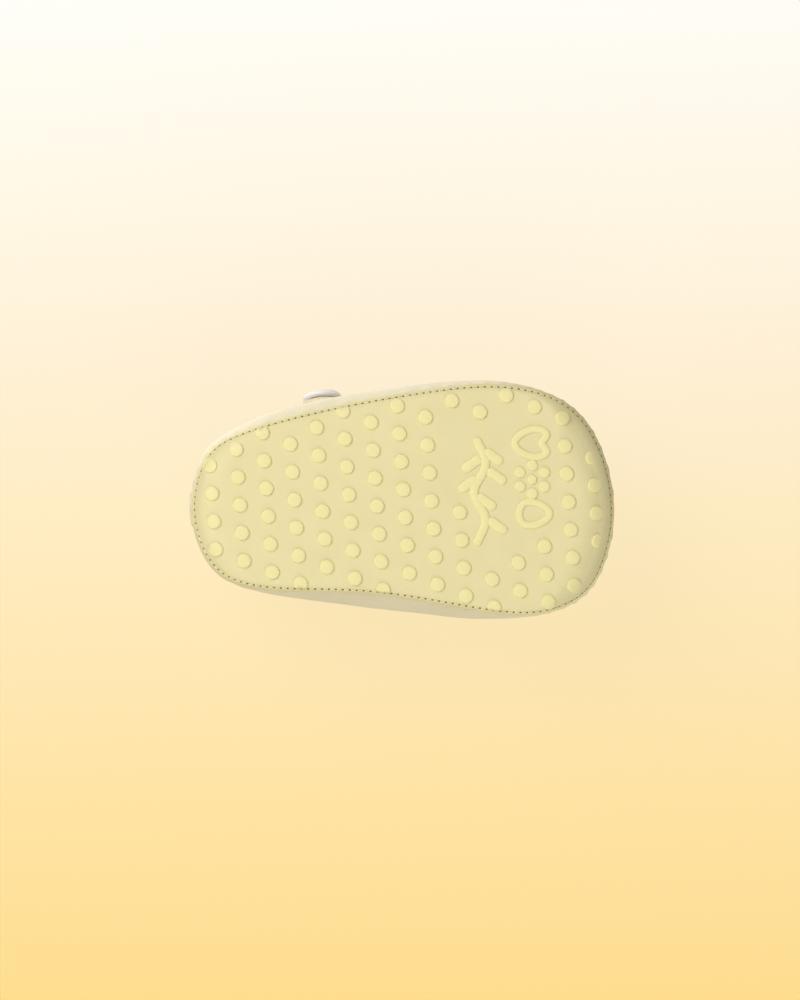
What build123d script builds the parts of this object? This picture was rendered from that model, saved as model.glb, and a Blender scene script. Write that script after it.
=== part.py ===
"""Soft-soled baby bootie, right foot, with a buttoned strap over the instep.

Frame: millimetres. +X towards the toe, +Y towards the inner (medial) side, +Z up.
The origin is on the ground under the middle of the foot. The shoe stands on its grip dots.
"""
import os
from math import atan2, cos, hypot, pi, radians, sin, sqrt

from build123d import *

os.makedirs("parts", exist_ok=True)

# ---------------------------------------------------------------- driving dimensions
dot_height = 0.7  # grip dots stand this far below the outsole
sole_floor = dot_height  # height of the flat underside of the outsole
sole_sheet = 1.2  # outsole sheet thickness
upper_sheet = 1.2  # upper material thickness
stiffener_sheet = 0.6  # toe puff, heel counter and quarter padding
lining_sheet = 0.8  # textile lining
foam_top = sole_floor + sole_sheet + 2.6  # top of the foam insole
sock_sheet = 0.8  # sock liner lying on the foam
binding_sheet = 0.6  # tape folded over the topline

side_seam_height = 3.4  # sole seam along the sides
toe_seam_rise = 6.4  # extra height of the seam at the toe tip
heel_seam_rise = 4.8  # extra height of the seam at the heel tip
side_curl, toe_curl, heel_curl = 2.6, 9.5, 7.5  # how far in the flat underside ends
bulge_height = 13.0  # the upper is widest here
side_crown, toe_crown, heel_crown = 38.0, 36.0, 78.0  # heights where the walls would meet

dot_diameter = 3.8
dot_bevel = 0.25
dot_column = (7.43, 2.99)  # step from one column of dots to the next
dot_row = (0.53, 7.34)  # step down a column
dot_start = (0.9, -2.75)

dot_root = 0.3  # dots are moulded this deep into the sheet
dot_margin = 1.7  # dot centres stay this far inside the rim
emblem_area = [(12.5, 18.5, -2), (18.5, 25.5, 15), (25.5, 32.5, 12), (32.5, 43, 8)]  # x from, to, y to
emblem_start = -21.0  # y where the plain area for the emblem starts
emblem_height = 0.6
stroke = 2.1  # width of the emblem's raised lines

stitch_margin = 0.9  # sole stitching runs this far inside the rim
stitch_count = 160
stitch_length, stitch_thickness = 1.25, 0.45

binding_depth = 3.0  # how far the tape reaches down each side of the wall
tape_rise = 0.7  # the folded tape stands this far above the wall

strap_width = 12.0
strap_sheet = 1.0
strap_lining_sheet = 0.7
strap_middle = (-18.7, 0.0)
strap_turn = 85.0  # direction of the strap across the foot, degrees from +X
strap_over = [(12.5, 39.0), (0, 41.0), (-12.5, 38.4)]  # its centre line over the instep, in its own plane
strap_clear = [(31.5, 2.4), (28, 1.7), (23.6, 1.1)]  # height, and clear space there between shoe and strap
patch_sheet = 0.25  # hook and loop patches
patch_width = 8.0
patch_clearance = 0.35
loop_thickness = 1.6  # before it is cut to the wall
patch_seat = 0.06  # glue between the hook patch and the strap
hook_ends = (9.4, 1.8)  # where the hook patch starts and ends, from the strap's end
loop_ends = (3.3, 0.2)  # the loop patch lies on the wall below the tape
stub_gap = 1.2  # room for the strap to bend over the stub

hinge_rise = 3.2  # the strap bends this far above the wall
button_setback = 5.6  # from the strap's end to the button's middle
button_diameter = 10.5
button_height = 2.2
button_gap = 0.6  # the button stands off the strap on its shank
button_edge = 0.9  # radius of the button's rounded edge
shank_diameter = 2.4

heel_middle = 2.4  # the back seam lies here across the shoe
back_stay_width = 9.0
vamp_slant = 0.25
puff_start, counter_end = 22.0, -30.0

wall_thickness = upper_sheet + stiffener_sheet + lining_sheet
strap_thickness = strap_sheet + strap_lining_sheet

# Height of the topline along the shoe, then up through the throat: x, z
topline = [(-62, 41.2), (-54, 40.0), (-42, 36.0), (-28, 31.4), (-14, 29.8), (-3, 29.4), (6, 30.0)]
topline += [(11.5, 32.4), (14.5, 36.5), (16.5, 43)]

# Edge of the sole seen from below: x, y and how far the upper bulges past it.
lateral_edge = [
    (-51.9, -11.2, 0.9),
    (-42.8, -17.9, 1.7),
    (-28.2, -22.4, 2.6),
    (-12.2, -26.0, 2.3),
    (3.9, -28.8, 1.9),
    (20.2, -30.7, 1.2),
    (33.5, -29.8, 0.9),
    (44.5, -25.5, 0.2),
    (52.8, -15.4, 0.0),
]
toe_tip = (56.9, 1.5, 0.0)
medial_edge = [
    (54.3, 17.1, 0.0),
    (47.6, 26.4, 0.1),
    (35.4, 30.5, 0.7),
    (20.0, 29.3, 2.4),
    (3.9, 26.5, 3.6),
    (-12.0, 24.7, 3.7),
    (-28.0, 24.3, 1.9),
    (-42.2, 22.5, 0.7),
    (-51.3, 15.9, 0.4),
]
heel_tip = (-55.3, 2.4, 0.6)
rim = lateral_edge + [toe_tip] + medial_edge + [heel_tip]
gather = (-12.0, 0.0)  # the walls lean in towards the vertical line over this point


# ---------------------------------------------------------------- shape of the shoe
def ease(value):
    """0 below 0, 1 above 1 and a smooth rise between."""
    value = min(max(value, 0.0), 1.0)
    return value * value * (3 - 2 * value)


def toe_share(x):
    return ease((x - 6) / 42)


def heel_share(x):
    return ease((-x - 14) / 38)


def curl_depth(x):
    """How far in from the rim the flat underside starts, for a rim point at x."""
    toe_part = (toe_curl - side_curl) * ease((x - 36) / 16)
    return side_curl + toe_part + (heel_curl - side_curl) * ease((-x - 38) / 13)


def seam_height(x):
    """Height of the sole seam: low along the sides, raised at the toe and the heel."""
    toe_rise = toe_seam_rise * ease((x - 30) / 34) * 1.25
    heel_rise = heel_seam_rise * ease((-x - 34) / 26) * 1.1
    return side_seam_height + min(toe_rise, toe_seam_rise) + min(heel_rise, heel_seam_rise)


def lean(rise, power):
    """Superellipse: the share of the way in to the gather line at a share of the crown."""
    rise = min(max(rise, 0.0), 0.97)
    return 1 - (1 - rise**power) ** (1 / power)


def outline(z, inset):
    """Closed outline of the shoe at height z, inset from the outer surface."""
    points = []
    count = len(rim)
    for index, (x, y, bulge) in enumerate(rim):
        before, after = rim[index - 1], rim[(index + 1) % count]
        along = (after[0] - before[0], after[1] - before[1])
        length = hypot(*along)
        outward = (along[1] / length, -along[0] / length)
        toe, heel = toe_share(x), heel_share(x)
        side = 1 - toe - heel
        seam = seam_height(x)
        floor = sole_floor + inset
        out = -inset
        if z < seam:  # the sole curls up as a quarter of an ellipse
            drop = min((seam - z) / (seam - floor), 1.0)
            out -= max(curl_depth(x) - inset, 1.0) * (1 - sqrt(1 - drop * drop))
        else:
            swell = min((z - seam) / (bulge_height - seam), 1.0)
            out += bulge * sin(pi / 2 * swell)
        base = bulge_height * (1 - toe) + seam * toe
        crown = side * side_crown + toe * toe_crown + heel * heel_crown - inset
        power = 2.2 * side + 1.7 * toe + 2.0 * heel
        inward = lean((z - base) / (crown - base), power)
        px, py = x + outward[0] * out, y + outward[1] * out
        points.append((px + (gather[0] - px) * inward, py + (gather[1] - py) * inward))
    return points


def closed_curve(points):
    """Smooth closed curve through points, with its parameter spread evenly between them."""
    shares = [index / len(points) for index in range(len(points) + 1)]
    return Edge.make_spline([Vector(*point) for point in points], periodic=True, parameters=shares)


def hull(inset):
    """The whole shoe as one closed body, inset from the outer surface."""
    steps = (0, 0.12, 0.5, 1.2, 2.2, 3.6, 5.6, 8.2, 12, 16, 20, 23.5)
    levels = [sole_floor + inset + step for step in steps] + [29, 30.6, 31.8, 33.2, 35, 37.2, 39.6, 42]
    with BuildPart() as body:
        for level in levels:
            with BuildSketch(Plane.XY.offset(level)):
                with BuildLine():
                    add(closed_curve(outline(level, inset)))
                make_face()
        loft()
    return body.part


def side_profile_block(points, shift=0.0):
    """Everything below a side profile curve that is moved off the shoe by shift, across the width."""
    low = -5
    if shift:
        befores, afters = points[:1] + points[:-1], points[1:] + points[-1:]
        moved = []
        for (x, z), (x1, z1), (x2, z2) in zip(points, befores, afters):
            length = hypot(x2 - x1, z2 - z1)
            moved.append((x - shift * (z2 - z1) / length, z + shift * (x2 - x1) / length))
        points = moved
    with BuildPart() as block:
        with BuildSketch(Plane.XZ):
            with BuildLine():
                Spline(*points)
                Polyline(points[-1], (70, points[-1][1]), (70, low), (points[0][0], low), points[0])
            make_face()
        extrude(amount=45, both=True)
    return block.part


def finish(piece, name):
    """Name a piece and write its STEP file."""
    piece.label = name
    export_step(piece, "parts/" + name + ".step")


# ---------------------------------------------------------------- layers of the wall
outer_hull = hull(0)
upper_inside = hull(upper_sheet)
lining_outside = hull(upper_sheet + stiffener_sheet)
lining_inside = hull(wall_thickness)

seam_stations = (-62, -56, -51, -45, -39, -32, 0, 28, 36, 44, 51, 56, 62)
seam_profile = [(x, seam_height(x)) for x in seam_stations]
below_seam = side_profile_block(seam_profile)
below_topline = side_profile_block(topline)

with BuildPart() as upper_shell:
    add(outer_hull)
    add(below_topline, mode=Mode.INTERSECT)
    add(below_seam, mode=Mode.SUBTRACT)
    add(upper_inside, mode=Mode.SUBTRACT)

with BuildPart() as stiffener_shell:
    add(upper_inside)
    add(below_topline, mode=Mode.INTERSECT)
    split(bisect_by=Plane.XY.offset(foam_top), keep=Keep.TOP)
    add(lining_outside, mode=Mode.SUBTRACT)

with BuildPart() as lining_shell:
    add(lining_outside)
    add(below_topline, mode=Mode.INTERSECT)
    split(bisect_by=Plane.XY.offset(foam_top), keep=Keep.TOP)
    add(lining_inside, mode=Mode.SUBTRACT)

# ---------------------------------------------------------------- sole
with BuildPart() as outsole:
    add(outer_hull)
    add(below_seam, mode=Mode.INTERSECT)
    add(upper_inside, mode=Mode.SUBTRACT)
finish(outsole.part, "outsole")

with BuildLine() as rim_line:
    Spline(*[(x, y) for x, y, bulge in rim], periodic=True)
rim_edge = rim_line.edges()[0]
rim_samples = [rim_edge @ (step / 360) for step in range(360)]


def underside_plane(x, y):
    """Plane lying on the outsole's underside at x, y and facing away from the shoe."""
    nearest = min(rim_samples, key=lambda point: hypot(point.X - x, point.Y - y))
    outward = (nearest - Vector(x, y)).normalized()
    depth = hypot(nearest.X - x, nearest.Y - y)
    curl, rise = curl_depth(nearest.X), seam_height(nearest.X) - sole_floor
    share = max(1 - depth / curl, 0.0)
    flat = sqrt(1 - share * share)
    slope = atan2(rise * share, curl * flat)
    normal = Vector(outward.X * sin(slope), outward.Y * sin(slope), -cos(slope))
    along = Vector(-outward.Y, outward.X, 0)
    return Plane(origin=(x, y, sole_floor + rise * (1 - flat)), x_dir=along, z_dir=normal)


def rim_depth(x, y):
    return min(hypot(point.X - x, point.Y - y) for point in rim_samples)


def inside_rim(x, y):
    nearest = min(rim_samples, key=lambda point: hypot(point.X - x, point.Y - y))
    return hypot(x, y) < hypot(nearest.X, nearest.Y)


def in_emblem(x, y):
    return any(low < x < high and emblem_start < y < end for low, high, end in emblem_area)


dot_planes = []
for column in range(-9, 9):
    for row in range(-9, 9):
        x = dot_start[0] + column * dot_column[0] + row * dot_row[0]
        y = dot_start[1] + column * dot_column[1] + row * dot_row[1]
        if inside_rim(x, y) and rim_depth(x, y) > dot_margin and not in_emblem(x, y):
            plane = underside_plane(x, y)
            face = plane.origin + plane.z_dir * dot_height
            reach_down = face.Z - dot_diameter / 2 * hypot(plane.z_dir.X, plane.z_dir.Y)
            raised = plane.origin - Vector(0, 0, min(reach_down, 0))
            dot_planes.append(Plane(raised, plane.x_dir, plane.z_dir))

with BuildPart() as grip_dots:
    with Locations(*[plane.offset((dot_height - dot_root) / 2) for plane in dot_planes]):
        Cone(dot_diameter / 2, dot_diameter / 2 - dot_bevel, dot_height + dot_root)
finish(grip_dots.part, "grip_dots")


# The emblem is a leafy sprig beside a heart, a flower and a drop, in raised round-ended strokes.
# Its sketch lies on the underside: first coordinate towards the inner side, second to the toe.
heart = [(-15, 30.2), (-11.4, 34.8), (-12.7, 38.6), (-15, 37.4), (-17.3, 38.6), (-18.6, 34.8)]
leaves = [(0.12, 1), (0.18, -1), (0.3, 1), (0.37, -1), (0.52, 1), (0.75, 1)]  # place on the sprig, side
sole_below = Plane(origin=(0, 0, sole_floor), x_dir=(0, 1, 0), z_dir=(0, 0, -1))
with BuildPart() as sole_emblem:
    with BuildSketch(sole_below):
        with BuildLine():
            sprig = Spline((-16.5, 20), (-9.5, 22.5), (-2, 19.5), (5, 22.5), (12, 20))
        trace(line_width=stroke)
        with Locations(sprig @ 0, sprig @ 1):
            Circle(stroke / 2)
        for share, side in leaves:
            root = sprig @ share
            with Locations(Location((root.X + 2.0, root.Y + side * 3.2, 0), (0, 0, side * 55))):
                Ellipse(3.0, stroke / 2)
        with BuildLine():
            Spline(*heart, periodic=True)
        trace(line_width=stroke * 0.8)
        with Locations((-5.4, 34.8)):
            Circle(stroke * 0.6)
            with PolarLocations(3.7, 6):
                Circle(stroke * 0.72)
        with BuildLine():
            Spline((3.6, 39.4), (6.7, 34.2), (3.6, 31.4), (0.5, 34.2), periodic=True)
        trace(line_width=stroke * 0.8)
    extrude(amount=emblem_height)
finish(sole_emblem.part, "sole_emblem")

stitch_planes = []
for step in range(stitch_count):
    edge_along = rim_edge % (step / stitch_count)
    spot = rim_edge @ (step / stitch_count) + Vector(-edge_along.Y, edge_along.X) * stitch_margin
    stitch_planes.append(underside_plane(spot.X, spot.Y))

with BuildPart() as sole_stitching:
    with Locations(*stitch_planes):
        Box(stitch_length, stitch_thickness, stitch_thickness)
finish(sole_stitching.part, "sole_stitching")

with BuildPart() as insole_foam:
    add(upper_inside)
    split(bisect_by=Plane.XY.offset(foam_top), keep=Keep.BOTTOM)
finish(insole_foam.part, "insole_foam")

with BuildPart() as sock_liner:
    add(lining_inside)
    split(bisect_by=Plane.XY.offset(foam_top), keep=Keep.TOP)
    split(bisect_by=Plane.XY.offset(foam_top + sock_sheet), keep=Keep.BOTTOM)
finish(sock_liner.part, "sock_liner")

# ---------------------------------------------------------------- panels of the upper
vamp_plane = Plane(origin=(3, 0, 28), z_dir=(1, 0, vamp_slant))  # in front of it is the vamp
middle_plane = Plane(origin=(0, heel_middle, 0), z_dir=(0, 1, 0))

with BuildPart() as vamp:
    add(upper_shell)
    split(bisect_by=vamp_plane, keep=Keep.TOP)
finish(vamp.part, "vamp")

with BuildPart() as back_stay:
    add(upper_shell)
    with Locations((-50, heel_middle, 25)):
        Box(20, back_stay_width, 60, mode=Mode.INTERSECT)
finish(back_stay.part, "back_stay")

with BuildPart() as quarter_lateral:
    add(upper_shell)
    split(bisect_by=vamp_plane, keep=Keep.BOTTOM)
    split(bisect_by=middle_plane, keep=Keep.BOTTOM)
    add(back_stay.part, mode=Mode.SUBTRACT)
finish(quarter_lateral.part, "quarter_lateral")

with BuildPart() as quarter_medial:
    add(upper_shell)
    split(bisect_by=vamp_plane, keep=Keep.BOTTOM)
    split(bisect_by=middle_plane, keep=Keep.TOP)
    add(back_stay.part, mode=Mode.SUBTRACT)
finish(quarter_medial.part, "quarter_medial")

puff_plane = Plane(origin=(puff_start, 0, 0), z_dir=(1, 0, 0))
counter_plane = Plane(origin=(counter_end, 0, 0), z_dir=(1, 0, 0))
with BuildPart() as toe_puff:
    add(stiffener_shell)
    split(bisect_by=puff_plane, keep=Keep.TOP)
finish(toe_puff.part, "toe_puff")

with BuildPart() as heel_counter:
    add(stiffener_shell)
    split(bisect_by=counter_plane, keep=Keep.BOTTOM)
finish(heel_counter.part, "heel_counter")

with BuildPart() as side_padding:
    add(stiffener_shell)
    split(bisect_by=puff_plane, keep=Keep.BOTTOM)
    split(bisect_by=counter_plane, keep=Keep.TOP)
finish(side_padding.part, "side_padding")

with BuildPart() as vamp_lining:
    add(lining_shell)
    split(bisect_by=vamp_plane, keep=Keep.TOP)
finish(vamp_lining.part, "vamp_lining")

with BuildPart() as quarter_lining:
    add(lining_shell)
    split(bisect_by=vamp_plane, keep=Keep.BOTTOM)
finish(quarter_lining.part, "quarter_lining")


# ---------------------------------------------------------------- strap over the instep
strap_along = Vector(cos(radians(strap_turn)), sin(radians(strap_turn)), 0)
strap_plane = Plane(
    origin=(strap_middle[0], strap_middle[1], 0),
    x_dir=strap_along,
    z_dir=(strap_along.Y, -strap_along.X, 0),
)


def wall_reach(z, side):
    """Distance from the strap's middle to the outside of the shoe, in the strap's plane."""
    ring = [Vector(x - strap_middle[0], y - strap_middle[1]) for x, y in outline(z, 0)]
    crossings = []
    for first, second in zip(ring, ring[1:] + ring[:1]):
        first_off = first.X * strap_along.Y - first.Y * strap_along.X
        second_off = second.X * strap_along.Y - second.Y * strap_along.X
        if first_off * second_off <= 0 and first_off != second_off:
            point = first + (second - first) * (first_off / (first_off - second_off))
            crossings.append(point.dot(strap_along))
    return max(side * crossing for crossing in crossings)


def topline_height(x):
    """Height of the topline at x, between its two nearest points."""
    for (x1, z1), (x2, z2) in zip(topline, topline[1:]):
        if x1 <= x <= x2:
            return z1 + (z2 - z1) * (x - x1) / (x2 - x1)
    return topline[-1][1]


root_x = strap_middle[0] + strap_along.X * 21
root_top = topline_height(root_x)
wall_centre = wall_thickness / 2
root_foot = Vector(wall_reach(root_top - 1.5, 1) - wall_centre, root_top - 1.5)
root_upper = Vector(wall_reach(root_top, 1) - wall_centre, root_top)
root_rise = (root_upper - root_foot).normalized()
hinge_point = root_upper + root_rise * hinge_rise

over_points = [(hinge_point.X, hinge_point.Y)] + strap_over
for height, clear in strap_clear:
    over_points.append((-wall_reach(height, -1) - clear - strap_thickness / 2, height))
with BuildLine() as strap_line:
    Spline(*over_points)
centre_line = strap_line.edges()[0]


def strap_band(low, high, start=0.0, end=1.0, count=17):
    """Closed strip between two offsets from the strap's centre line; positive is outward."""
    upper_side, lower_side = [], []
    for step in range(count):
        share = start + (end - start) * step / (count - 1)
        point, along = centre_line @ share, centre_line % share
        across = Vector(along.Y, -along.X)
        upper_side.append(point + across * high)
        lower_side.append(point + across * low)
    return upper_side, lower_side


def strap_strip(low, high, start=0.0, end=1.0, width=strap_width):
    """A strip of the strap, as wide as given, between two offsets from its centre line."""
    upper_side, lower_side = strap_band(low, high, start, end)
    with BuildPart() as strip:
        with BuildSketch(strap_plane):
            with BuildLine():
                Spline(*upper_side)
                Line(upper_side[-1], lower_side[-1])
                Spline(*lower_side)
                Line(lower_side[0], upper_side[0])
            make_face()
        extrude(amount=width / 2, both=True)
    return strip.part


half_strap = strap_thickness / 2
button_share = 1 - button_setback / centre_line.length
button_spot = centre_line @ button_share
button_along = centre_line % button_share
button_out = Vector(button_along.Y, -button_along.X)
out_in_space = strap_along * button_out.X + Vector(0, 0, button_out.Y)
face_spot = button_spot + button_out * half_strap
button_plane = Plane(
    origin=strap_plane.from_local_coords((face_spot.X, face_spot.Y, 0)),
    x_dir=strap_plane.z_dir,
    z_dir=out_in_space,
)

# Cuts the strap's end round, about the button.
with BuildPart() as end_trim:
    with BuildSketch(button_plane.offset(-6)):
        Circle(strap_width)
        Circle(strap_width / 2, mode=Mode.SUBTRACT)
        with Locations((0, strap_width)):
            Rectangle(4 * strap_width, 2 * strap_width, mode=Mode.SUBTRACT)
    extrude(amount=12)

with BuildPart() as strap:
    add(strap_strip(half_strap - strap_sheet, half_strap))
    add(end_trim.part, mode=Mode.SUBTRACT)
    with Locations(button_plane):
        Cylinder(shank_diameter / 2, 8, mode=Mode.SUBTRACT)
finish(strap.part, "strap")

with BuildPart() as strap_lining:
    add(strap_strip(-half_strap, half_strap - strap_sheet))
    add(end_trim.part, mode=Mode.SUBTRACT)
    with Locations(button_plane):
        Cylinder(shank_diameter / 2, 8, mode=Mode.SUBTRACT)
finish(strap_lining.part, "strap_lining")

with BuildPart() as button:
    with Locations(button_plane.offset(button_gap + button_height / 2)):
        Cylinder(button_diameter / 2, button_height)
    fillet(button.edges().group_by(SortBy.LENGTH)[-1], button_edge)
finish(button.part, "button")

with BuildPart() as button_shank:
    with Locations(button_plane.offset((button_gap - strap_thickness) / 2)):
        Cylinder(shank_diameter / 2, button_gap + strap_thickness)
finish(button_shank.part, "button_shank")

# Hook patch under the strap's end and the loop patch on the quarter that it grips.
hook_from, hook_to = [1 - distance / centre_line.length for distance in hook_ends]
loop_from, loop_to = [1 - distance / centre_line.length for distance in loop_ends]
hook_top = -half_strap - patch_seat
with BuildPart() as hook_patch:
    add(strap_strip(hook_top - patch_sheet, hook_top, hook_from, hook_to, patch_width))
finish(hook_patch.part, "hook_patch")

loop_top = hook_top - patch_sheet - patch_clearance
with BuildPart() as loop_patch:
    add(strap_strip(loop_top - loop_thickness, loop_top, loop_from, loop_to, patch_width))
    add(outer_hull, mode=Mode.SUBTRACT)
finish(loop_patch.part, "loop_patch")

# The strap grows out of the inner quarter's top edge; this stub stays with the shoe.
stub_end = hinge_point - root_rise * (half_strap + stub_gap)
stub_foot = stub_end - root_rise * 4
stub_across = Vector(root_rise.Y, -root_rise.X) * half_strap
with BuildPart() as strap_stub:
    with BuildSketch(strap_plane):
        with BuildLine():
            Polyline(
                stub_end + stub_across,
                stub_end - stub_across,
                stub_foot - stub_across,
                stub_foot + stub_across,
                stub_end + stub_across,
            )
        make_face()
    extrude(amount=strap_width / 2, both=True)
    add(below_topline, mode=Mode.SUBTRACT)
finish(strap_stub.part, "strap_stub")

# ---------------------------------------------------------------- tape folded over the topline
tape_outside = hull(-binding_sheet)
tape_inside = hull(wall_thickness + binding_sheet)
with BuildPart() as root_slot:
    with BuildSketch(strap_plane):
        with Locations((root_upper.X, root_top)):
            Rectangle(14, 14)
    extrude(amount=strap_width / 2 + 0.3, both=True)

with BuildPart() as wall_band:
    add(outer_hull)
    add(below_topline, mode=Mode.INTERSECT)
    add(lining_inside, mode=Mode.SUBTRACT)

with BuildPart() as collar_binding:
    add(tape_outside)
    add(side_profile_block(topline, tape_rise), mode=Mode.INTERSECT)
    add(side_profile_block(topline, -binding_depth), mode=Mode.SUBTRACT)
    add(tape_inside, mode=Mode.SUBTRACT)
    add(wall_band.part, mode=Mode.SUBTRACT)
    add(root_slot.part, mode=Mode.SUBTRACT)
finish(collar_binding.part, "collar_binding")
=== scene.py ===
import bpy
import numpy as np
from mathutils import Matrix, Vector


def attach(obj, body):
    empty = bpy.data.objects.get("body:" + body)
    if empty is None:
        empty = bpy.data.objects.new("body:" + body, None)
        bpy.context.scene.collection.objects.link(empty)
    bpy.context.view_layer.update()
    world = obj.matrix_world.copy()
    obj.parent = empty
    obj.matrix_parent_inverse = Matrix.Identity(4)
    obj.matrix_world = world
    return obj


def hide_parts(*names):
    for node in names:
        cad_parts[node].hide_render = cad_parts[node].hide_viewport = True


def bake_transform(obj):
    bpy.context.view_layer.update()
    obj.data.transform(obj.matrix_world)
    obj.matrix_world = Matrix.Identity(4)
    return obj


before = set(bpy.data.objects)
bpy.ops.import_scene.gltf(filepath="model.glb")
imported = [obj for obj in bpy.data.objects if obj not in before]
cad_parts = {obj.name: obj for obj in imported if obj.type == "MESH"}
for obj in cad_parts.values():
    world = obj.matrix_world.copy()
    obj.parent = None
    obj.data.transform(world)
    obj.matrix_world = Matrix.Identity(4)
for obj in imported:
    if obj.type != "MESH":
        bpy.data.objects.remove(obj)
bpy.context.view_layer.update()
toMetres = 0.001
print("frame loaded")


def makeObject(name, points, faces, smooth=True):
    # a mesh object from points in millimetres and a list or array of faces
    mesh = bpy.data.meshes.new(name)
    corners = (np.asarray(points) * toMetres).tolist()
    mesh.from_pydata(corners, [], faces if isinstance(faces, list) else faces.tolist())
    mesh.validate()
    mesh.update()
    mesh.polygons.foreach_set("use_smooth", np.full(len(mesh.polygons), smooth))
    piece = bpy.data.objects.new(name, mesh)
    bpy.context.scene.collection.objects.link(piece)
    return piece


def gridFaces(rows, columns, aroundRows=False, aroundColumns=False, start=0):
    # quads between neighbouring points of a rows by columns grid, numbered row by row
    rowCount = rows if aroundRows else rows - 1
    columnCount = columns if aroundColumns else columns - 1
    r, c = np.meshgrid(np.arange(rowCount), np.arange(columnCount), indexing="ij")
    r, c = r.ravel(), c.ravel()
    r2, c2 = (r + 1) % rows, (c + 1) % columns
    return np.stack([r * columns + c, r * columns + c2, r2 * columns + c2, r2 * columns + c], 1) + start


def fanFaces(ring, hub, flip=False):
    # triangles from a closed ring of point numbers to one hub point
    after = np.roll(ring, -1)
    hubs = np.full(len(ring), hub)
    return np.stack([after, ring, hubs] if flip else [ring, after, hubs], 1)


def tubeFaces(rows, columns, closed=False, flip=False):
    # a tube of rings. Each end is closed with one face, unless the tube runs round into itself
    faces = gridFaces(rows, columns, aroundRows=closed, aroundColumns=True).tolist()
    if not closed:
        faces.append(list(range(columns))[::-1])
        faces.append(list(range(columns * (rows - 1), columns * rows)))
    return [face[::-1] for face in faces] if flip else faces


def spindleFaces(rows, columns):
    # rings joined to each other, the first and the last also to a hub point; both hubs are numbered
    # after the rings
    last = (rows - 1) * columns
    faces = gridFaces(rows, columns, aroundColumns=True).tolist()
    faces += fanFaces(np.arange(columns), rows * columns, flip=True).tolist()
    return faces + fanFaces(np.arange(last, last + columns), rows * columns + 1).tolist()


def joinSets(parts):
    # several (points, faces) sets as one
    points, faces, start = [], [], 0
    for partPoints, partFaces in parts:
        points.append(partPoints)
        faces += [[number + start for number in face] for face in partFaces]
        start += len(partPoints)
    return np.concatenate(points), faces


def dress(piece, material, slotName, body, *nodes):
    # material, material slot name (not used), the nodes it stands for, and the body it moves with; a
    # piece of the hinge keeps its place baked in and is attached to no body
    piece.data.materials.append(material)
    if nodes:
        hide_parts(*nodes)
    if body == "hinge":
        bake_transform(piece)
    else:
        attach(piece, body)
    return piece


def ease(value):
    value = np.clip(value, 0, 1)
    return value * value * (3 - 2 * value)


def past(values, start, length):
    # 0 up to the start, 1 a length further on, eased between
    return ease((values - start) / length)


def unit(vectors):
    return vectors / np.linalg.norm(vectors, axis=-1)[..., None]


def circle(count):
    return np.linspace(0, 2 * np.pi, count, endpoint=False)


def runLength(points, closed=False):
    # distance along a line at each of its points; a closed line also gets its full length
    points = np.concatenate([points, points[:1]]) if closed else points
    return np.concatenate([[0], np.cumsum(np.linalg.norm(np.diff(points, axis=0), axis=1))])


def resample(stops, run, values):
    # what a line holds at other distances along it
    return np.stack([np.interp(stops, run, column) for column in values.T], 1)


def waves(u, v, seed, count=7):
    # smooth uneven ripple between -1 and 1: a few sine waves of random direction and phase
    random = np.random.default_rng(seed)
    total = 0
    for number in range(count):
        a, b = random.normal(0, 1, 2)
        total = total + np.sin(a * u + b * v + random.uniform(0, 6.3)) * (0.6 + 0.4 * random.random())
    return total / count * 1.6


def colour(text):
    # sRGB hex to the linear values that a shader takes
    parts = [int(text[i:i + 2], 16) / 255 for i in (1, 3, 5)]
    return [p / 12.92 if p <= 0.04045 else ((p + 0.055) / 1.055) ** 2.4 for p in parts] + [1]


def addNode(material, kind, settings=None, links=None):
    # one node; settings are socket values or node properties, links are {socket: output socket}
    node = material.node_tree.nodes.new("ShaderNode" + kind)
    for key, value in (settings or {}).items():
        if isinstance(key, str) and hasattr(node, key):
            setattr(node, key, value)
        else:
            node.inputs[key].default_value = value
    for key, output in (links or {}).items():
        material.node_tree.links.new(output, node.inputs[key])
    return node


def combine(material, operation, first, second):
    # what a sum, product or maximum of two outputs gives
    return addNode(material, "Math", {"operation": operation}, {0: first, 1: second}).outputs[0]


def newMaterial(name, base, roughness, **sockets):
    material = bpy.data.materials.new(name)
    material.use_nodes = True
    shader = material.node_tree.nodes["Principled BSDF"]
    shader.inputs["Base Color"].default_value = colour(base)
    shader.inputs["Roughness"].default_value = roughness
    for key, value in sockets.items():
        shader.inputs[key.replace("_", " ")].default_value = value
    return material, shader


leatherLook = {
    "soleBase": "#e7dba7", "soleShade": "#dfd29c", "upperBase": "#eadfba", "upperShade": "#e2d5ad",
    "tapeBase": "#e9deb8", "tapeShade": "#e3d6ae",
    "grainMm": 0.55, "creaseMm": 1.6, "mottleMm": 9.0, "grainHeight": 0.00003, "roughness": 0.62,
}
weaveLook = {"waveThreads": 6.3, "threadHeight": 0.00005, "bump": 0.5, "roughness": 0.85}


def texture(material, kind, place, scale, **settings):
    return addNode(material, kind, {"Scale": scale, **settings}, {"Vector": place})


def addRelief(material, shader, first, second, strength, distance):
    # the sum of two patterns as fine relief
    bump = addNode(material, "Bump", {"Strength": strength, "Distance": distance},
                   {"Height": combine(material, "ADD", first, second)})
    material.node_tree.links.new(bump.outputs[0], shader.inputs["Normal"])


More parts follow.
